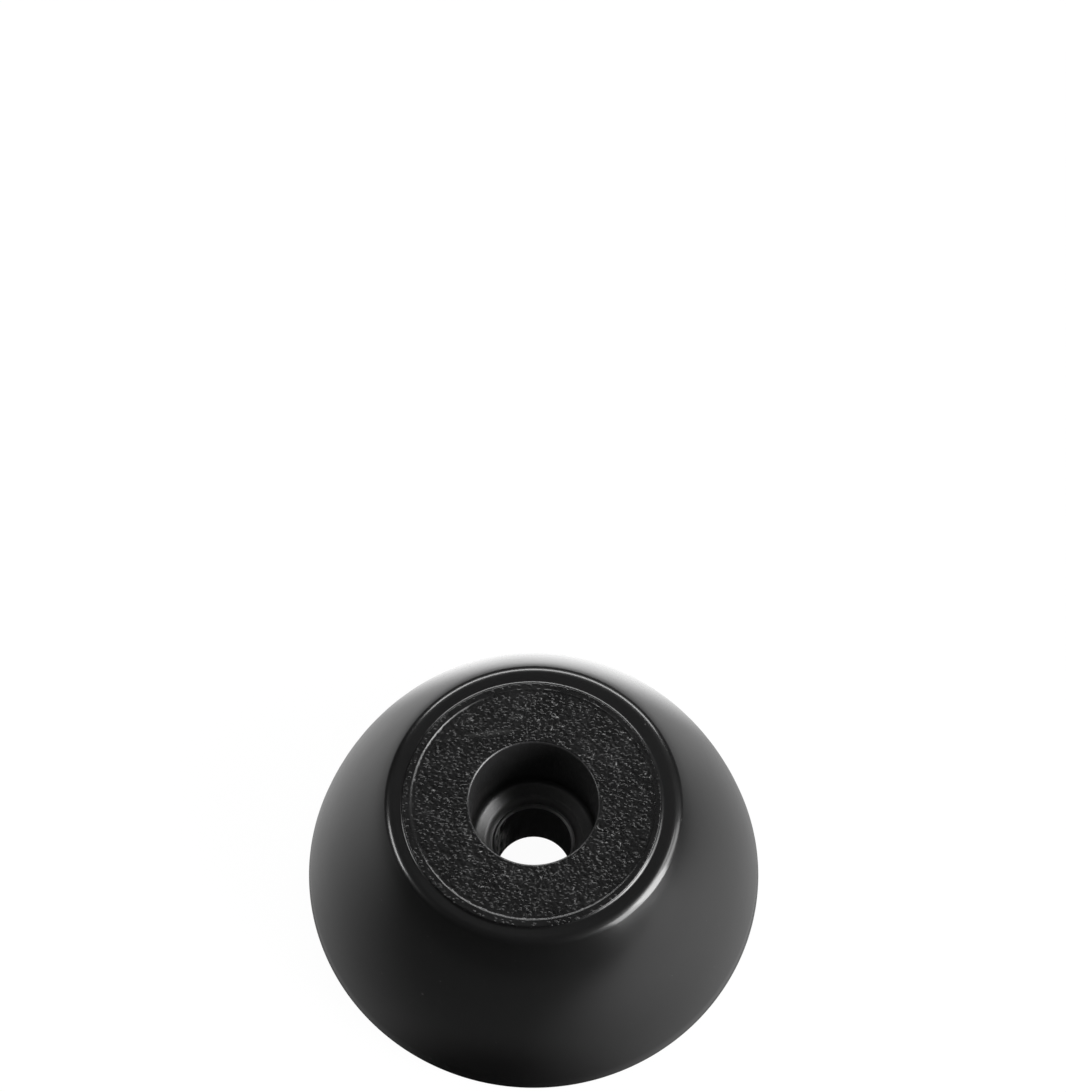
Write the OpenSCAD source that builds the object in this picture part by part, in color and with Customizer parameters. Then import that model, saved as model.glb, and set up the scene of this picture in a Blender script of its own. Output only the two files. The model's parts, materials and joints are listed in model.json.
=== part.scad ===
// Rubber foot: one moulded piece, turned about Z.
// The wide mounting face lies at z = 0, and the narrow floor face looks up.
// All sizes are in millimetres.

/* [Body] */
// Diameter of the wide mounting face
foot_d = 38; // [34:0.5:60]
// Height from the mounting face to the floor face
foot_h = 17; // [14:0.5:24]
// Diameter of the narrow end, measured to its corner before rounding
narrow_d = 23.7; // [22.5:0.1:26]
// How far the flank bulges outside a straight cone
flank_bulge = 1.05; // [0.3:0.05:1.5]
// Rounding between the flank and the narrow end
shoulder_r = 1.1; // [0.4:0.1:2]
// Rounding of the edge of the mounting face
edge_r = 0.25; // [0.1:0.05:0.6]

/* [Floor face] */
// Diameter of the raised floor face
face_d = 21.1; // [18:0.1:21.5]
// Height of the step from the smooth ring up to the floor face
face_step = 0.14; // [0.05:0.01:0.4]
// Width of the low lip round the floor face
lip_w = 0.6; // [0.2:0.1:1.2]
// How far the textured field lies below that lip
lip_h = 0.06; // [0.02:0.01:0.15]

/* [Screw seat] */
// Diameter of the screw hole
hole_d = 6.5; // [4:0.1:8]
// Diameter of the recess for the screw head
recess_d = 10.5; // [9:0.1:13]
// Depth of the recess wall below the floor face
recess_depth = 7.5; // [4:0.1:8]
// Angle of the conical seat for the screw head
seat_angle = 82; // [70:1:110]
// Rounding of the recess mouth
mouth_r = 0.15; // [0.05:0.05:0.4]

/* [Hidden] */

turn_fn = 128;
flank_steps = 28;
round_steps = 6;

foot_r = foot_d / 2;
narrow_r = narrow_d / 2;
face_r = face_d / 2;
field_r = face_r - lip_w;
hole_r = hole_d / 2;
recess_r = recess_d / 2;
ring_z = foot_h - face_step;
field_z = foot_h - lip_h;
recess_z = foot_h - recess_depth;
seat_depth = (recess_r - hole_r) / tan(seat_angle / 2);
seat_z = recess_z - seat_depth;

// The flank is an arc from the edge of the mounting face to the corner of the narrow end.
flank_foot = [foot_r, edge_r];
flank_top = [narrow_r, ring_z];
chord = flank_top - flank_foot;
chord_len = norm(chord);
flank_r = (chord_len * chord_len / 4 + flank_bulge * flank_bulge) / (2 * flank_bulge);
chord_dir = chord / chord_len;
inward = [-chord_dir[1], chord_dir[0]];
flank_c = (flank_foot + flank_top) / 2 + inward * (flank_r - flank_bulge);

// The shoulder is an arc that touches the flank from inside and ends level with the smooth ring.
shoulder_z = ring_z - shoulder_r;
shoulder_reach = flank_r - shoulder_r;
shoulder_rise = shoulder_z - flank_c[1];
shoulder_x = flank_c[0] + sqrt(shoulder_reach * shoulder_reach - shoulder_rise * shoulder_rise);

function angle_at(centre, point) = atan2(point[1] - centre[1], point[0] - centre[0]);
flank_start = angle_at(flank_c, flank_foot);
flank_end = angle_at(flank_c, [shoulder_x, shoulder_z]);

// Points of an arc from one angle to another. An arc that carries on from the last point starts at step 1.
function arc(centre, radius, from, to, steps, first = 0) =
    [for (i = [first : steps])
        let (a = from + (to - from) * i / steps)
        centre + radius * [cos(a), sin(a)]];

// Half section of the foot, from the screw hole outwards and round to the recess.
foot_section = concat(
    [[hole_r, 0]],
    arc([foot_r - edge_r, edge_r], edge_r, -90, 0, round_steps),
    arc(flank_c, flank_r, flank_start, flank_end, flank_steps, first = 1),
    arc([shoulder_x, shoulder_z], shoulder_r, flank_end, 90, round_steps, first = 1),
    [[face_r, ring_z]],
    [[face_r, foot_h]],
    [[field_r, foot_h]],
    [[field_r, field_z]],
    arc([recess_r + mouth_r, field_z - mouth_r], mouth_r, 90, 180, round_steps),
    [[recess_r, recess_z]],
    [[hole_r, seat_z]]
);

module foot() {
    color([0.11, 0.11, 0.12])
        rotate_extrude($fn = turn_fn)
            polygon(foot_section);
}

foot();
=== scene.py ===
"""Rubber foot: the moulded foot with its finishes, on a pale floor in soft studio light.

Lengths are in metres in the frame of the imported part: the wide mounting face lies at z = 0,
and the camera stands on the -Y side.
"""
import json
import math

import bmesh
import bpy
from mathutils import Matrix, Vector, noise


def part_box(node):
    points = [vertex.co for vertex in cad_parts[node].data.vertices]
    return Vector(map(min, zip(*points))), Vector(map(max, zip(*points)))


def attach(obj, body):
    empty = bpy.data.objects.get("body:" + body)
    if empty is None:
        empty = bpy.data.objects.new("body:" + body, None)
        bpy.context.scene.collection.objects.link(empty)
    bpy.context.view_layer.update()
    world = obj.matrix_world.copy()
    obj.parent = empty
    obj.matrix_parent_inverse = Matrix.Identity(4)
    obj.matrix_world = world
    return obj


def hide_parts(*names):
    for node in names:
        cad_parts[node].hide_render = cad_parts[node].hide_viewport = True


bl_info = {
    "name": "Rubber Foot",
    "version": (1, 0, 0),
    "blender": (4, 5, 0),
    "location": "View3D > Sidebar > Rubber Foot",
    "description": "Builds a screw-on rubber foot with its finishes, and a small studio",
    "category": "Add Mesh",
}

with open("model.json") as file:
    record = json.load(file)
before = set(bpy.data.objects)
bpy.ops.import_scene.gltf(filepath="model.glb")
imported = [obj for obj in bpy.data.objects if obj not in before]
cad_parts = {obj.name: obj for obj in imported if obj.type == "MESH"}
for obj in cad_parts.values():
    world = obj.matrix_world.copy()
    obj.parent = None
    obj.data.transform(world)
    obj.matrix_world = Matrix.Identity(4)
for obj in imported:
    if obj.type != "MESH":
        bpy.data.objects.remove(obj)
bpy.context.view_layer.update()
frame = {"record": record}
NODE = "foot"
MM = 0.001

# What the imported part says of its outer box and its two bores
_, TOP_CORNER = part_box(NODE)
BORES = {m["name"]: m["dims"] for m in frame["record"]["mounts"] if m["kind"] == "bore"}
HOLE = BORES["screw_hole"]
RECESS = BORES["screw_head_recess"]

# The photograph's frame in pixels, and the focal length that its perspective gives
FRAME_WIDE, FRAME_HIGH = 1066, 1092
FOCAL_PIXELS = 4478.4
SENSOR_MM = 36.0
# The camera's elevation in degrees, its distance from the middle of the foot's base, and the
# pixel of the frame that this middle falls on
CAMERA_ELEVATION = 70.68
CAMERA_DISTANCE = 0.38
BASE_PIXEL = (533.64, 871.94)


def length(name, description, default, low=0.0):
    return bpy.props.FloatProperty(
        name=name, description=description, default=default, min=low,
        precision=5, subtype="DISTANCE", unit="LENGTH")


def share(name, description, default, high=1.0):
    return bpy.props.FloatProperty(
        name=name, description=description, default=default, min=0.0, max=high, precision=3)


def colour(name, description, default):
    return bpy.props.FloatVectorProperty(
        name=name, description=description, default=default, min=0.0, max=1.0,
        size=3, subtype="COLOR")


class FootSizes(bpy.types.PropertyGroup):
    foot_r: length("Foot radius", "Radius of the wide mounting face", TOP_CORNER.x)
    foot_h: length("Foot height", "From the mounting face to the floor face", TOP_CORNER.z)
    narrow_r: length("Narrow radius", "Radius of the narrow end at its corner", 11.85 * MM)
    bulge: length("Flank bulge", "How far the flank stands outside a straight cone", 1.05 * MM)
    shoulder_r: length("Shoulder rounding", "Rounding between flank and narrow end", 1.1 * MM)
    edge_r: length("Edge rounding", "Rounding of the mounting face's edge", 0.25 * MM)
    face_r: length("Floor face radius", "Radius of the raised floor face", 10.55 * MM)
    face_step: length("Floor face step", "Height of the floor face over the ring", 0.14 * MM)
    face_shift: length("Floor face shift", "How far its edge sits off centre", 0.17 * MM)
    step_r: length("Step rounding", "Rounding of the floor face's edge", 0.13 * MM)
    lip_w: length("Lip width", "Width of the low lip round the floor face", 0.66 * MM)
    lip_h: length("Lip height", "How far the field lies below the lip", 0.1 * MM)
    hole_r: length("Hole radius", "Radius of the screw hole", HOLE["r_mm"] * MM)
    hole_h: length("Hole length", "Height of the hole's wall", HOLE["length_mm"] * MM)
    recess_r: length("Recess radius", "Radius of the screw head recess", RECESS["r_mm"] * MM)
    mouth_r: length("Mouth rounding", "Rounding of the recess mouth", 0.22 * MM)
    fillet_r: length("Seat fillet", "Fillet between the recess wall and the seat", 0.85 * MM)
    seat_r: length("Seat rounding", "Rounding of the hole's upper edge", 0.2 * MM)
    bead_r: length("Bead", "Radius of the thin bead round the hole's upper edge", 0.075 * MM)
    seat_slope: bpy.props.FloatProperty(
        name="Seat slope", description="Angle of the seat to the axis",
        default=math.radians(63.0), min=math.radians(45.0), max=math.radians(80.0),
        subtype="ANGLE", unit="ROTATION")
    grain_size: length("Grain size", "Width of one grain of the floor face", 0.27 * MM, 0.1 * MM)
    grain_h: length("Grain height", "Height of the grain", 0.053 * MM)
    hole_rough: length("Hole roughness", "Unevenness of the hole's wall", 0.05 * MM)
    hole_tight: length("Hole tightness", "How far the hole's wall has closed in", 0.16 * MM)
    segments: bpy.props.IntProperty(
        name="Segments", description="Steps round the foot", default=704, min=64, max=800)


class FootFinish(bpy.types.PropertyGroup):
    rubber: colour("Rubber", "Moulded rubber", (0.004, 0.004, 0.0041))
    ground: colour("Ground rubber", "Rubber where it was ground flat", (0.05, 0.05, 0.05))
    dust: colour("Dust", "Specks of dust", (0.09, 0.09, 0.088))
    satin: share("Satin", "Roughness of the rubber under its skin", 0.32)
    polish: share("Polish", "Roughness of the moulded skin", 0.15)
    grain: share("Grain", "Roughness of the grained floor face", 0.3)
    seat: share("Seat", "Roughness of the recess and seat", 0.4)
    bore: share("Bore", "Roughness of the hole's wall", 0.8)
    matt: share("Matt", "Roughness of the ground mounting face", 0.58)


class StudioSettings(bpy.types.PropertyGroup):
    floor: colour("Floor", "Colour of the floor", (0.92, 0.92, 0.92))
    glow: share("Floor white", "Share of plain white in the floor as the camera sees it", 0.96)
    glow_front: share("Front white", "Brightness of the floor before the foot in reflections", 0.075)
    fill: share("Fill", "Brightness of the soft overhead light", 2.5, 20.0)
    room: share("Room", "Brightness of the room", 0.008, 5.0)


class Wire:
    """A socket of a material. Python's operators on it add Math nodes."""

    def __init__(self, finish, socket):
        self.finish = finish
        self.socket = socket

    def math(self, operation, *values):
        sockets = dict(enumerate(values))
        return self.finish.node("Math", {"operation": operation}, sockets)

    def __add__(self, other):
        return self.math("ADD", self, other)

    def __radd__(self, other):
        return self.math("ADD", other, self)

    def __sub__(self, other):
        return self.math("SUBTRACT", self, other)

    def __rsub__(self, other):
        return self.math("SUBTRACT", other, self)

    def __mul__(self, other):
        return self.math("MULTIPLY", self, other)

    def __rmul__(self, other):
        return self.math("MULTIPLY", other, self)

    def __pow__(self, other):
        return self.math("POWER", self, other)


class Finish:
    """A material that is built node by node."""

    def __init__(self, name):
        self.material = bpy.data.materials.new(name)
        self.material.use_nodes = True
        self.tree = self.material.node_tree
        self.tree.nodes.clear()

    def node(self, kind, settings=None, sockets=None, output=0):
        made = self.tree.nodes.new("ShaderNode" + kind)
        for key, value in (settings or {}).items():
            setattr(made, key, value)
        for key, value in (sockets or {}).items():
            if isinstance(value, Wire):
                self.tree.links.new(value.socket, made.inputs[key])
            else:
                made.inputs[key].default_value = value
        return Wire(self, made.outputs[output]) if made.outputs else made

    def place_mm(self):
        """The place on the piece in millimetres, as a vector."""
        place = self.node("TexCoord", output="Object")
        return self.node("VectorMath", {"operation": "SCALE"}, {0: place, "Scale": 1 / MM})

    def distance(self, vector, place):
        settings = {"operation": "DISTANCE"}
        return self.node("VectorMath", settings, {0: vector, 1: place}, "Value")

    def off_line(self, vector, start, end):
        """Distance from the straight line through two places."""
        along = (Vector(end) - Vector(start)).normalized()
        off = self.node("VectorMath", {"operation": "SUBTRACT"}, {0: vector, 1: start})
        across = self.node("VectorMath", {"operation": "CROSS_PRODUCT"}, {0: off, 1: along})
        return self.node("VectorMath", {"operation": "LENGTH"}, {0: across}, "Value")

    def parts(self, vector):
        """The x, y and z of a vector."""
        split = self.node("SeparateXYZ", sockets={0: vector})
        outputs = split.socket.node.outputs
        return [Wire(self, outputs[axis]) for axis in range(3)]

    def stretched(self, vector, scale):
        """The vector scaled along each axis."""
        return self.node("Mapping", {"vector_type": "POINT"}, {"Vector": vector, "Scale": scale})

    def noise(self, vector, scale, detail=2.0, rough=0.5):
        sockets = {"Vector": vector, "Scale": scale, "Detail": detail, "Roughness": rough}
        return self.node("TexNoise", sockets=sockets)

    def cells(self, vector, scale):
        """Distance from the middle of the nearest cell."""
        sockets = {"Vector": vector, "Scale": scale}
        return self.node("TexVoronoi", {"feature": "F1"}, sockets, "Distance")

    def ramp(self, value, low, high, low_to=0.0, high_to=1.0):
        """The value eased from one range to another."""
        sockets = {0: value, 1: low, 2: high, 3: low_to, 4: high_to}
        return self.node("MapRange", {"interpolation_type": "SMOOTHSTEP"}, sockets)

    def spot(self, vector, centre, *levels):
        """The distance from a place, eased as in a ramp."""
        return self.ramp(self.distance(vector, centre), *levels)

    def stroke(self, vector, ends, sides, reach):
        """1 along a straight mark between two ends. The sides are the distances from its line at
        which it has gone and at which it is full, and the reach is the same from its middle."""
        middle = [(a + b) / 2 for a, b in zip(*ends)]
        line = self.ramp(self.off_line(vector, *ends), *sides)
        return line * self.spot(vector, middle, *reach)

    def blend(self, factor, first, second):
        """One colour or the other by a factor. A colour is three numbers or a wire."""
        settings = {"data_type": "RGBA"}
        made = self.node("Mix", settings, {0: factor}, output=2)
        for index, value in ((6, first), (7, second)):
            target = made.socket.node.inputs[index]
            if isinstance(value, Wire):
                self.tree.links.new(value.socket, target)
            else:
                target.default_value = (*value, 1.0)
        return made

    def bump(self, height, depth_mm, normal=None):
        """A bump whose height runs from 0 to 1 over a real depth."""
        sockets = {"Height": height, "Distance": depth_mm * MM, "Strength": 1.0}
        if normal:
            sockets["Normal"] = normal
        return self.node("Bump", sockets=sockets)

    def principled(self, **sockets):
        names = {key.replace("_", " ").title(): value for key, value in sockets.items()}
        names = {key.replace("Ior", "IOR"): value for key, value in names.items()}
        return self.node("BsdfPrincipled", sockets=names)

    def show(self, shader):
        """Puts the shader on the output and returns the material."""
        self.node("OutputMaterial", sockets={"Surface": shader})
        return self.material

    def surface(self, **sockets):
        return self.show(self.principled(**sockets))


def toned(colour, times):
    """The colour made lighter or darker."""
    return [c * times for c in colour]


# Places in the finishes, in millimetres.
# A scratch low on the flank, from end to end, and the nick above it
SCRATCH = ((-12.45, -14.24, 0.71), (-9.96, -13.78, 7.46))
NICK = (-9.07, -13.66, 8.95)
# A faint smudge across the floor face, from end to end
SMUDGE = ((-5.4, 5.85, 17.0), (-1.7, 6.3, 17.0))
# Middle of the floor face, and the radii where the quiet ring round its lip sets in and ends
FACE_MIDDLE = (0.0, 0.0, TOP_CORNER.z / MM)
QUIET_FROM = (9.6, 9.75)
QUIET_TO = (10.3, 10.15)
# Where the seat is shiniest
SHINY = (-4.3, 1.6, 8.8)
# Heights between which the seat turns into the wall that is painted paler as painted light, and into
# the bead at its foot
WALL_PAINTED_LIGHT_HEIGHTS = (8.4, 10.0)
BEAD_HEIGHTS = (7.65, 7.45)
# Middle of the curved marks that grinding left on the mounting face
GRIND_X, GRIND_Y = 26.0, -14.0


def moulded_rubber(look):
    """Satin moulded rubber under a smooth skin, with specks of dust, a scratch and a nick."""
    finish = Finish("moulded_rubber")
    place = finish.place_mm()
    haze = finish.noise(place, 0.22, 3.0)
    skin = finish.noise(place, 7.0, 2.0)
    speck = finish.ramp(finish.cells(place, 0.85), 0.08, 0.05)
    chosen = finish.ramp(finish.noise(place, 0.5, 0.0), 0.5, 0.7)
    scratch = finish.stroke(place, SCRATCH, (0.12, 0.04), (4.0, 3.2))
    nick = finish.spot(place, NICK, 0.14, 0.07)
    dust = speck * chosen * 0.4 + scratch * 0.05 + nick * 0.6
    base = finish.blend(dust, look.rubber, look.dust)
    rough = look.satin + (haze - 0.5) * 0.12 + dust * 0.3
    normal = finish.bump(skin, 0.0015)
    return finish.surface(
        base_color=base, roughness=rough, normal=normal, coat_weight=1.0,
        coat_roughness=look.polish, coat_ior=1.5)


def grained_rubber(look):
    """The floor face: the grain is modelled, and this adds its finest part and its wear."""
    finish = Finish("grained_rubber")
    place = finish.place_mm()
    haze = finish.noise(place, 0.35, 3.0)
    fine = finish.noise(place, 6.0, 3.0, 0.6)
    pebble = finish.ramp(finish.cells(finish.stretched(place, (0.6, 1.1, 1.0)), 4.4), 0.5, 0.05)
    rough = look.grain + (haze - 0.5) * 0.2 + (fine - 0.5) * 0.15
    out = finish.distance(place, FACE_MIDDLE)
    quiet = finish.ramp(out, *QUIET_FROM) * finish.ramp(out, *QUIET_TO)
    normal = finish.bump(pebble * (1 - quiet * 0.9), 0.045, finish.bump(fine, 0.015))
    smudge = finish.stroke(place, SMUDGE, (0.35, 0.05), (2.2, 1.2))
    clean = finish.blend(finish.ramp(haze, 0.45, 0.7), look.rubber, toned(look.rubber, 1.3))
    base = finish.blend(smudge * 0.14, clean, look.dust)
    return finish.surface(
        base_color=base, roughness=rough, normal=normal,
        coat_weight=finish.ramp(haze, 0.1, 0.6, 0.45, 0.7), coat_roughness=0.2,
        coat_ior=1.5)


def seat_rubber(look):
    """Smooth recess and seat, with faint flow marks from the mould core, and painted light that
    makes the wall above the seat paler than the seat. The bead and the left of the seat are shiny."""
    finish = Finish("seat_rubber")
    place = finish.place_mm()
    flow = finish.noise(finish.stretched(place, (0.9, 0.9, 0.35)), 2.4, 4.0, 0.65)
    rough = look.seat + (flow - 0.5) * 0.25
    normal = finish.bump(flow, 0.06)
    height = finish.parts(place)[2]
    # Painted light: the wall above the seat is paler than the seat below it, and the flow marks vary
    # the tone
    pale = flow * 0.4 + finish.ramp(height, *WALL_PAINTED_LIGHT_HEIGHTS) * 0.6
    base = finish.blend(pale, toned(look.rubber, 0.3), toned(look.rubber, 6.0))
    shiny = finish.spot(place, SHINY, 4.6, 1.8, 0.18, 1.0)
    bead = finish.ramp(height, *BEAD_HEIGHTS)
    return finish.surface(
        base_color=base, roughness=rough, normal=normal, specular_ior_level=0.7,
        coat_weight=shiny + (1 - shiny) * bead, coat_roughness=0.33, coat_ior=2.6)


def bore_rubber(look):
    """The rough dark wall of the screw hole, with streaks along it and painted light on the left,
    paler along the streaks.
    """
    finish = Finish("bore_rubber")
    place = finish.place_mm()
    streak = finish.noise(finish.stretched(place, (2.2, 2.2, 0.4)), 1.0, 4.0, 0.65)
    rough = look.bore + (streak - 0.5) * 0.3
    normal = finish.bump(streak, 0.1)
    clean = finish.blend(streak, toned(look.rubber, 4.0), toned(look.rubber, 9.0))
    # Painted light on the left of the hole's wall, where the streaks turn pale
    on_left = finish.ramp(finish.parts(place)[0], -1.8, -3.0)
    painted_light_left = on_left * finish.ramp(streak, 0.42, 0.6)
    base = finish.blend(painted_light_left, clean, toned(look.dust, 4.0))
    return finish.surface(
        base_color=base, roughness=rough, normal=normal, specular_ior_level=0.3)


def ground_rubber(look):
    """The mounting face, ground flat: fine curved marks, and a greyer matt skin."""
    finish = Finish("ground_rubber")
    place = finish.place_mm()
    haze = finish.noise(place, 0.15, 3.0)
    x, y, _ = finish.parts(place)
    from_side = ((x - GRIND_X) ** 2.0 + (y - GRIND_Y) ** 2.0) ** 0.5
    wander = finish.noise(place, 0.35, 2.0) * 1.2
    lines = finish.node("CombineXYZ", sockets={0: from_side + wander, 1: x * 0.04, 2: y * 0.04})
    marks = finish.noise(lines, 3.4, 3.0, 0.6)
    pale = finish.ramp(marks, 0.35, 0.7)
    base = finish.blend(pale, toned(look.ground, 0.85), toned(look.ground, 1.2))
    rough = look.matt + (haze - 0.5) * 0.15
    normal = finish.bump(marks, 0.02)
    return finish.surface(base_color=base, roughness=rough, normal=normal)


# The finishes of the foot, and the number that each has on the mesh
FINISHES = (moulded_rubber, grained_rubber, seat_rubber, ground_rubber, bore_rubber)
MOULDED, GRAINED, SEAT, GROUND, BORE = range(len(FINISHES))

# Steps of the flank's arc, and of the grained field from its lip to the recess
FLANK_STEPS = 14
FIELD_STEPS = 58
# A short first and last step that keeps the shading of a flat stretch flat
GUARD = 0.08 * MM
# Width of the slope from the lip down to the field
LIP_SLOPE = 0.12 * MM
# Direction, half width and fade in degrees of the side where the lip is sunk, and of the side
# where it is smooth
SUNK_SIDE = (55.0, 45.0, 20.0)
SMOOTH_SIDE = (-48.0, 45.0, 20.0)
# A worn patch on the floor face, and a burr on its far edge with its height
WORN_PATCH = (-2.6 * MM, 6.3 * MM)
BURR = (-2.75 * MM, 10.35 * MM)
BURR_H = 0.06 * MM
# Points that are closer than this become one
WELD = 0.002 * MM
# Seed of the grain, so that each run gives the same one
GRAIN_SEED = 7


class Section:
    """Half section of a turned part in the XZ plane, drawn on from its last point."""

    def __init__(self, bm, x, z):
        self.bm = bm
        self.tip = bm.verts.new((x, 0.0, z))

    def step_to(self, x, z):
        made = bmesh.ops.extrude_vert_indiv(self.bm, verts=[self.tip])
        self.tip = made["verts"][0]
        self.tip.co = (x, 0.0, z)

    def line_to(self, x, z, steps=1, guard=0.0):
        """A straight line in equal steps. A guard is a short step at each end, which keeps
        the shading flat up to the rounding beyond."""
        start = self.tip.co.copy()
        end = Vector((x, 0.0, z))
        reach = (end - start).length
        first = guard / reach
        stops = [first + (1 - 2 * first) * i / steps for i in range(steps + 1)]
        if guard:
            stops.append(1.0)
        else:
            stops = stops[1:]
        for stop in stops:
            point = start.lerp(end, stop)
            self.step_to(point.x, point.z)

    def turn(self, x, z, degrees, steps):
        """An arc about a centre. Positive degrees turn from +X towards +Z."""
        made = bmesh.ops.spin(
            self.bm, geom=[self.tip], cent=(x, 0.0, z), axis=(0.0, -1.0, 0.0),
            angle=math.radians(degrees), steps=steps, use_merge=False, use_duplicate=False)
        self.tip = next(part for part in made["geom_last"] if isinstance(part, bmesh.types.BMVert))


def flank_and_shoulder(sizes):
    """Centres, and sweeps in degrees, of the flank arc and the shoulder arc."""
    ring_z = sizes.foot_h - sizes.face_step
    foot = Vector((sizes.foot_r, sizes.edge_r))
    top = Vector((sizes.narrow_r, ring_z))
    chord = top - foot
    radius = (chord.length_squared / 4 + sizes.bulge ** 2) / (2 * sizes.bulge)
    inward = Vector((-chord.y, chord.x)).normalized()
    centre = (foot + top) / 2 + inward * (radius - sizes.bulge)
    shoulder_z = ring_z - sizes.shoulder_r
    reach = radius - sizes.shoulder_r
    rise = shoulder_z - centre.y
    shoulder = Vector((centre.x + math.sqrt(reach ** 2 - rise ** 2), shoulder_z))
    start = math.degrees(math.atan2(foot.y - centre.y, foot.x - centre.x))
    end = math.degrees(math.atan2(rise, shoulder.x - centre.x))
    return centre, end - start, shoulder, 90.0 - end


def seat_and_edge(sizes):
    """Where the seat's fillet leaves the recess wall, the foot of the seat's straight part, and
    the centre of the rounding of the hole's upper edge."""
    upward = Vector((-math.cos(sizes.seat_slope), math.sin(sizes.seat_slope)))
    down = sizes.hole_h - sizes.seat_r * upward.y
    edge = Vector((sizes.hole_r + sizes.seat_r, down))
    foot = edge + upward * sizes.seat_r
    reach = sizes.recess_r - sizes.fillet_r * (1 + upward.x) - foot.x
    rise = reach / math.tan(sizes.seat_slope) + sizes.fillet_r * upward.y
    return foot.y + rise, foot, edge


def draw_section(bm, sizes):
    """The whole closed half section, from the foot of the hole outwards and back."""
    ring_z = sizes.foot_h - sizes.face_step
    field_z = sizes.foot_h - sizes.lip_h
    field_r = sizes.face_r - sizes.lip_w
    wall_z, seat_foot, edge = seat_and_edge(sizes)
    flank_c, flank_sweep, shoulder_c, shoulder_sweep = flank_and_shoulder(sizes)
    section = Section(bm, sizes.hole_r, 0.0)
    section.line_to(sizes.foot_r - sizes.edge_r, 0.0, 3, GUARD)
    section.turn(sizes.foot_r - sizes.edge_r, sizes.edge_r, 90.0, 3)
    section.turn(flank_c.x, flank_c.y, flank_sweep, FLANK_STEPS)
    section.turn(shoulder_c.x, shoulder_c.y, shoulder_sweep, 8)
    section.line_to(sizes.face_r, ring_z, 3)
    section.line_to(sizes.face_r, sizes.foot_h - sizes.step_r, 1)
    section.turn(sizes.face_r - sizes.step_r, sizes.foot_h - sizes.step_r, 90.0, 3)
    section.line_to(field_r + LIP_SLOPE, sizes.foot_h, 5)
    section.line_to(field_r, field_z, 2)
    section.line_to(sizes.recess_r + sizes.mouth_r, field_z, FIELD_STEPS)
    section.turn(sizes.recess_r + sizes.mouth_r, field_z - sizes.mouth_r, 90.0, 3)
    section.line_to(sizes.recess_r, wall_z, 3, GUARD)
    section.turn(sizes.recess_r - sizes.fillet_r, wall_z, -math.degrees(sizes.seat_slope), 8)
    # The bead is a half circle that stands on the seat, just above the rounding of its foot
    uphill = Vector((math.sin(sizes.seat_slope), math.cos(sizes.seat_slope)))
    bead = seat_foot + uphill * sizes.bead_r * 1.5
    bead_start = bead + uphill * sizes.bead_r
    section.line_to(bead_start.x, bead_start.y, 2)
    section.turn(bead.x, bead.y, 180.0, 5)
    section.line_to(seat_foot.x, seat_foot.y)
    section.turn(edge.x, edge.y, math.degrees(sizes.seat_slope), 4)
    section.line_to(sizes.hole_r, GUARD, 7)
    section.line_to(sizes.hole_r, 0.0, 1)


def spin_round(bm, segments):
    """Spins the section through one wedge, and doubles the wedge until it goes right round."""
    wedges = 16
    turned = math.tau / wedges
    bmesh.ops.spin(
        bm, geom=bm.verts[:] + bm.edges[:], cent=(0.0, 0.0, 0.0), axis=(0.0, 0.0, 1.0),
        angle=turned, steps=segments // wedges, use_merge=False, use_duplicate=False)
    while wedges > 1:
        made = bmesh.ops.duplicate(bm, geom=bm.verts[:] + bm.edges[:] + bm.faces[:])
        copied = [part for part in made["geom"] if isinstance(part, bmesh.types.BMVert)]
        turn = Matrix.Rotation(turned, 3, "Z")
        bmesh.ops.rotate(bm, cent=(0.0, 0.0, 0.0), matrix=turn, verts=copied)
        turned *= 2
        wedges //= 2
    bmesh.ops.remove_doubles(bm, verts=bm.verts[:], dist=WELD)


def eased(value, low, high):
    """0 below low, 1 above high and smooth between."""
    t = min(1.0, max(0.0, (value - low) / (high - low)))
    return t * t * (3 - 2 * t)


def facing(x, y, degrees, half_width, fade):
    """1 where the point lies within half a width of a direction, fading to 0 beyond."""
    away = abs((math.degrees(math.atan2(y, x)) - degrees + 180) % 360 - 180)
    return 1 - eased(away, half_width, half_width + fade)


def grain_at(x, y, size):
    """Leather grain from about -0.7 to 0.3: domed grains of uneven size and height."""
    place = Vector((x, y, 0.0)) / size
    place += 0.5 * noise.noise_vector(place * 0.8)
    nearest = noise.voronoi(place)[0][0]
    dome = 1 - 2.2 * nearest ** 2
    return dome * (0.9 + 0.8 * noise.noise(place * 0.6)) - 0.75


def near(x, y, place, inner, outer):
    """1 within the inner radius of a place, fading to 0 at the outer radius."""
    return 1 - eased(math.hypot(x - place[0], y - place[1]), inner, outer)


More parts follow.
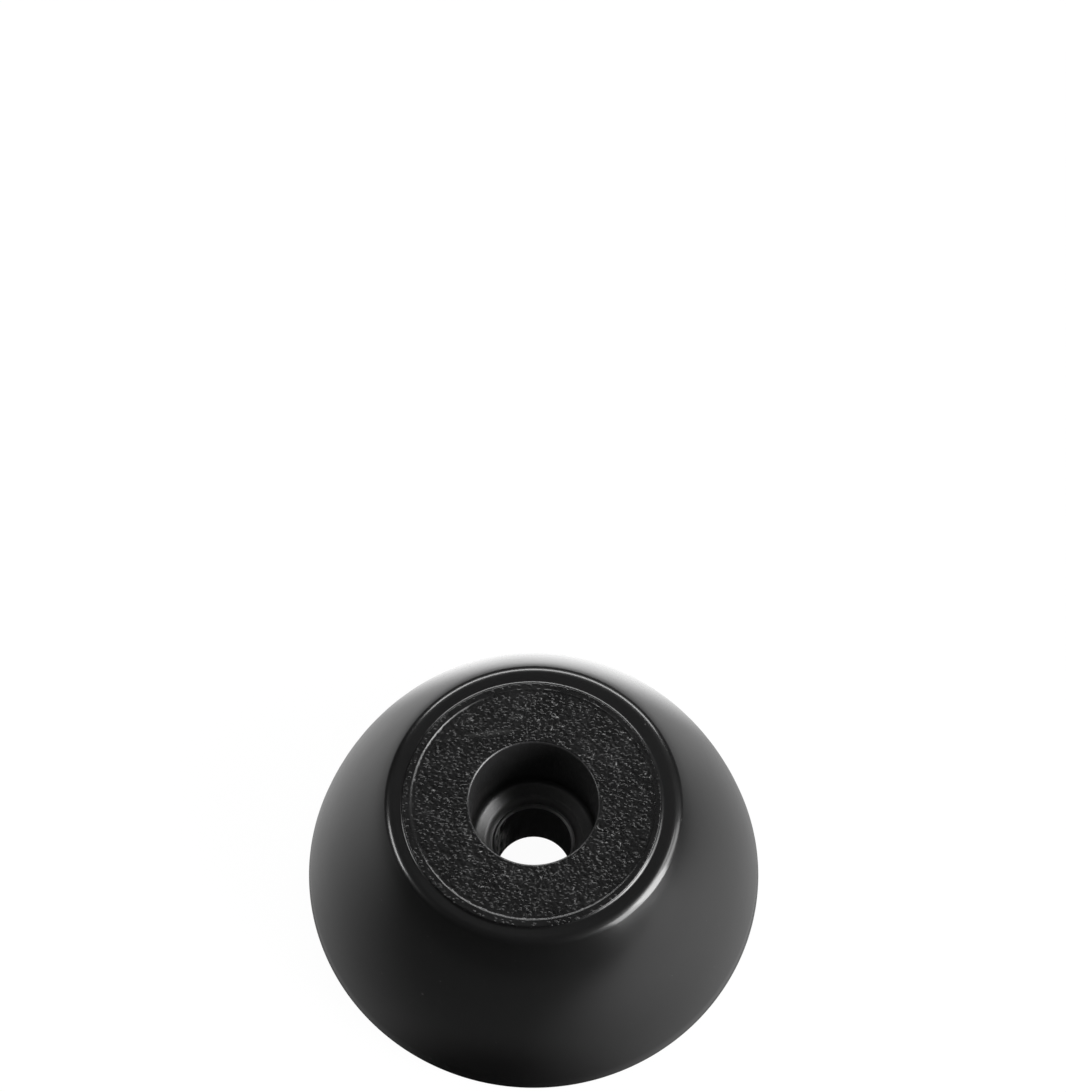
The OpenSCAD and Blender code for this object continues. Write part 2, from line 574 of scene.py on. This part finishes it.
def shape_floor_face(bm, sizes):
    """Moves the raised face's edge off centre, sinks its lip at the back and adds the grain."""
    noise.seed_set(GRAIN_SEED)
    ring_z = sizes.foot_h - sizes.face_step
    field_r = sizes.face_r - sizes.lip_w
    inner = sizes.recess_r + sizes.mouth_r
    for vert in bm.verts:
        x, y, z = vert.co
        r = math.hypot(x, y)
        if z < ring_z - WELD or r < inner - WELD or r > sizes.face_r + sizes.shoulder_r:
            continue
        shift = eased(r, field_r - 0.3 * MM, sizes.face_r - sizes.step_r)
        shift *= 1 - eased(r, sizes.face_r + 0.1 * MM, sizes.face_r + 0.7 * MM)
        on_lip = eased(r, field_r, field_r + LIP_SLOPE)
        sunk = facing(x, y, *SUNK_SIDE) * on_lip
        smooth = facing(x, y, *SMOOTH_SIDE) * on_lip
        # The grain fades at the recess and at the outer edge. It is lower on the lip and on the
        # worn patch, and the slope of the lip has next to none.
        height = grain_at(x, y, sizes.grain_size) * sizes.grain_h
        height *= eased(r, inner, inner + 0.1 * MM)
        height *= 1 - eased(r, sizes.face_r - sizes.step_r, sizes.face_r)
        height *= 1 - 0.8 * smooth
        height *= 1 - 0.35 * on_lip
        height *= 1 - 0.4 * near(x, y, WORN_PATCH, 0.8 * MM, 2.2 * MM)
        beyond = eased(r, field_r + LIP_SLOPE, field_r + LIP_SLOPE + 0.08 * MM)
        height *= 1 - 0.95 * eased(r, field_r - 0.1 * MM, field_r) * (1 - beyond)
        height += BURR_H * near(x, y, BURR, 0.03 * MM, 0.16 * MM)
        over_ring = max(0.0, z - ring_z) * (1 - sunk * sizes.lip_h / sizes.face_step)
        vert.co.x -= shift * sizes.face_shift
        vert.co.y -= shift * sizes.face_shift * 0.5
        vert.co.z = min(z, ring_z) + over_ring + height


def shape_hole(bm, sizes):
    """The hole's wall is slightly uneven, and a little tight in the soft rubber."""
    for vert in bm.verts:
        x, y, z = vert.co
        r = math.hypot(x, y)
        if r > sizes.hole_r + sizes.seat_r or z > sizes.hole_h + WELD:
            continue
        middle = eased(z, 0.0, 1.0 * MM) * (1 - eased(z, sizes.hole_h - 1.0 * MM, sizes.hole_h))
        ripple = noise.noise(Vector((x / MM * 0.9, y / MM * 0.9, z / MM * 0.5)))
        tight = sizes.hole_tight * (0.6 + 0.4 * eased(z, 0.0, sizes.hole_h))
        scale = 1 + (ripple * middle * sizes.hole_rough - tight) / r
        vert.co.x *= scale
        vert.co.y *= scale


def zone(centre, sizes):
    """The number of the finish that a face takes."""
    r = math.hypot(centre.x, centre.y)
    if centre.z < 0.6 * sizes.edge_r and r > sizes.hole_r + WELD:
        return GROUND
    if r < sizes.hole_r + 0.2 * sizes.seat_r:
        return BORE
    if r < sizes.recess_r + 0.4 * sizes.mouth_r:
        return SEAT
    if r < sizes.face_r + 0.05 * MM and centre.z > sizes.foot_h - sizes.face_step:
        return GRAINED
    return MOULDED


class RUBBERFOOT_OT_moulding(bpy.types.Operator):
    """Build the moulded rubber foot"""

    bl_idname = "rubber_foot.moulding"
    bl_label = "Moulded foot"
    bl_options = {"REGISTER", "UNDO"}

    def execute(self, context):
        sizes = context.scene.rubber_foot_sizes
        look = context.scene.rubber_foot_finish
        bm = bmesh.new()
        draw_section(bm, sizes)
        spin_round(bm, sizes.segments)
        bmesh.ops.recalc_face_normals(bm, faces=bm.faces[:])
        for face in bm.faces:
            face.smooth = True
            face.material_index = zone(face.calc_center_median(), sizes)
        shape_floor_face(bm, sizes)
        shape_hole(bm, sizes)
        mesh = bpy.data.meshes.new("rubber_foot")
        bm.to_mesh(mesh)
        bm.free()
        for make in FINISHES:
            mesh.materials.append(make(look))
        piece = bpy.data.objects.new("rubber_foot", mesh)
        context.scene.collection.objects.link(piece)
        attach(piece, "root")
        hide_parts(NODE)
        return {"FINISHED"}


def towards(azimuth, elevation):
    """Unit vector to a place round the foot. Azimuth 0 is +X and 90 is +Y."""
    a = math.radians(azimuth)
    e = math.radians(elevation)
    return Vector((math.cos(a) * math.cos(e), math.sin(a) * math.cos(e), math.sin(e)))


LAMP_DISTANCE = 0.6


def softbox(name, azimuth, elevation, wide, high, brightness):
    """A lamp that faces the foot. Its width and height are angles as seen from the foot, and
    its brightness is in floor whites."""
    lamp = bpy.data.lights.new(name, "AREA")
    lamp.shape = "RECTANGLE"
    lamp.size = 2 * LAMP_DISTANCE * math.tan(math.radians(wide / 2))
    lamp.size_y = 2 * LAMP_DISTANCE * math.tan(math.radians(high / 2))
    lamp.energy = brightness * math.pi * lamp.size * lamp.size_y
    box = bpy.data.objects.new(name, lamp)
    bpy.context.scene.collection.objects.link(box)
    direction = towards(azimuth, elevation)
    box.location = direction * LAMP_DISTANCE
    box.rotation_euler = direction.to_track_quat("Z", "Y").to_euler()
    box.visible_camera = False
    return box


# Pools of light and shade that reflections see on the floor, in millimetres: the middle, the
# two distances between which the light changes, and its levels there
FAR_PAPER = ((0.0, -30.0, 0.0), 55.0, 90.0, 1.0, 0.35)
DARK_FRONT = ((-2.0, -16.0, 0.0), 5.0, 14.0, 0.1, 1.0)
BRIGHT_BACK = ((3.0, 3.0, 0.0), 33.0, 21.0, 0.0, 0.85)
BACK_MIDDLE = ((1.5, 22.0, 0.0), 18.0, 7.0, 0.0, 1.0)
RIGHT_FRONT = ((42.0, -28.0, 0.0), 46.0, 14.0, 0.0, 0.42)
UNDER_FOOT = ((0.0, 0.0, 0.0), 18.0, 19.0, 0.0, 1.0)


def pale_floor(settings):
    """White paper. The camera sees most of it as plain white, which keeps the foot's shadow faint.
    Reflections see a painted reflection instead: white behind the foot and dimming towards the
    front, with a painted shadow just before the foot and painted shade under it."""
    finish = Finish("pale_floor")
    place = finish.place_mm()
    shade = finish.noise(place, 0.004, 1.0)
    base = finish.blend(shade, settings.floor, [c * 0.985 for c in settings.floor])
    paper = finish.principled(base_color=base, roughness=0.8, specular_ior_level=0.1)
    seen = finish.node("LightPath", output="Is Camera Ray")
    outputs = seen.socket.node.outputs
    mirrored = Wire(finish, outputs["Is Glossy Ray"]) + Wire(finish, outputs["Is Transmission Ray"])
    x, y, _ = finish.parts(place)
    # The painted reflection that glossy rays see: dim before the foot, paler behind it, with painted
    # pools of light and shade
    grey = finish.ramp(y - x * 0.15, -26.0, 32.0, settings.glow_front, 0.5)
    grey = grey * finish.ramp(y, 27.0, 35.0, 1.0, 0.15)
    grey = grey * finish.spot(place, *FAR_PAPER) * finish.spot(place, *DARK_FRONT)
    behind = finish.spot(place, *BRIGHT_BACK) * finish.spot(place, *BACK_MIDDLE)
    around = (grey + behind) * finish.spot(place, *UNDER_FOOT)
    level = finish.blend(
        mirrored, (1.0, 1.0, 1.0), around + finish.spot(place, *RIGHT_FRONT))
    white = finish.node("Emission", sockets={"Color": level})
    return finish.show(
        finish.node("MixShader", sockets={0: seen * settings.glow + mirrored, 1: paper, 2: white}))


# Name, azimuth, elevation, width and height in degrees, and brightness of each lamp
LAMPS = (
    ("right_window", -19.0, 23.5, 20.0, 45.0, 9.0),
    ("right_low", -38.0, 20.0, 18.0, 36.0, 5.5),
    ("right_side", 2.0, 28.0, 22.0, 22.0, 3.2),
    ("right_high", -2.0, 50.5, 26.0, 11.0, 4.0),
    ("left_strip", 177.0, 31.0, 20.0, 12.0, 7.0),
    ("back_strip", 86.0, 23.0, 68.0, 13.0, 6.0),
    ("back_panel", 90.0, 68.0, 70.0, 35.0, 0.04),
)


class RUBBERFOOT_OT_studio(bpy.types.Operator):
    """Build the floor, the lights and the camera"""

    bl_idname = "rubber_foot.studio"
    bl_label = "Studio"
    bl_options = {"REGISTER", "UNDO"}

    def execute(self, context):
        scene = context.scene
        settings = scene.rubber_foot_studio
        bm = bmesh.new()
        bmesh.ops.create_grid(bm, x_segments=8, y_segments=8, size=2.0)
        mesh = bpy.data.meshes.new("floor")
        bm.to_mesh(mesh)
        bm.free()
        mesh.materials.append(pale_floor(settings))
        floor = bpy.data.objects.new("floor", mesh)
        scene.collection.objects.link(floor)

        world = bpy.data.worlds.new("room")
        world.use_nodes = True
        room = world.node_tree.nodes["Background"]
        room.inputs["Color"].default_value = (1.0, 1.0, 1.0, 1.0)
        room.inputs["Strength"].default_value = settings.room
        scene.world = world

        for lamp in LAMPS:
            softbox(*lamp)
        fill = softbox("fill", 90.0, 80.0, 60.0, 60.0, settings.fill)
        fill.visible_glossy = False
        place_camera(scene)
        scene.view_settings.view_transform = "Standard"
        return {"FINISHED"}


def place_camera(scene):
    """The camera looks over the foot, so that the foot stands low in the frame as photographed."""
    base_x, base_y = BASE_PIXEL
    drop = math.atan((base_y - FRAME_HIGH / 2) / FOCAL_PIXELS)
    aside = (base_x - FRAME_WIDE / 2) / FOCAL_PIXELS * CAMERA_DISTANCE
    camera = bpy.data.cameras.new("camera")
    camera.sensor_width = SENSOR_MM
    camera.lens = FOCAL_PIXELS * SENSOR_MM / FRAME_HIGH
    camera.clip_start = 0.01
    camera.clip_end = 20.0
    holder = bpy.data.objects.new("camera", camera)
    scene.collection.objects.link(holder)
    above = towards(-90.0, CAMERA_ELEVATION) * CAMERA_DISTANCE
    holder.location = above - Vector((aside, 0.0, 0.0))
    holder.rotation_euler = (math.radians(90.0 - CAMERA_ELEVATION) + drop, 0.0, 0.0)
    scene.camera = holder


class RUBBERFOOT_PT_panel(bpy.types.Panel):
    bl_idname = "RUBBERFOOT_PT_panel"
    bl_label = "Rubber Foot"
    bl_space_type = "VIEW_3D"
    bl_region_type = "UI"
    bl_category = "Rubber Foot"

    def draw(self, context):
        layout = self.layout
        scene = context.scene
        for group, title in PANEL_GROUPS:
            box = layout.box()
            box.label(text=title)
            values = getattr(scene, group)
            for name in values.bl_rna.properties.keys():
                if name not in {"rna_type", "name"}:
                    box.prop(values, name)
        for operator in OPERATORS:
            layout.operator(operator.bl_idname)


PANEL_GROUPS = (
    ("rubber_foot_sizes", "Sizes"),
    ("rubber_foot_finish", "Finish"),
    ("rubber_foot_studio", "Studio"),
)
OPERATORS = (RUBBERFOOT_OT_moulding, RUBBERFOOT_OT_studio)
CLASSES = (FootSizes, FootFinish, StudioSettings, *OPERATORS, RUBBERFOOT_PT_panel)


def register():
    for kind in CLASSES:
        bpy.utils.register_class(kind)
    bpy.types.Scene.rubber_foot_sizes = bpy.props.PointerProperty(type=FootSizes)
    bpy.types.Scene.rubber_foot_finish = bpy.props.PointerProperty(type=FootFinish)
    bpy.types.Scene.rubber_foot_studio = bpy.props.PointerProperty(type=StudioSettings)


def unregister():
    del bpy.types.Scene.rubber_foot_studio
    del bpy.types.Scene.rubber_foot_finish
    del bpy.types.Scene.rubber_foot_sizes
    for kind in reversed(CLASSES):
        bpy.utils.unregister_class(kind)


def main():
    register()
    bpy.ops.rubber_foot.moulding()
    bpy.ops.rubber_foot.studio()


if __name__ == "__main__":
    main()
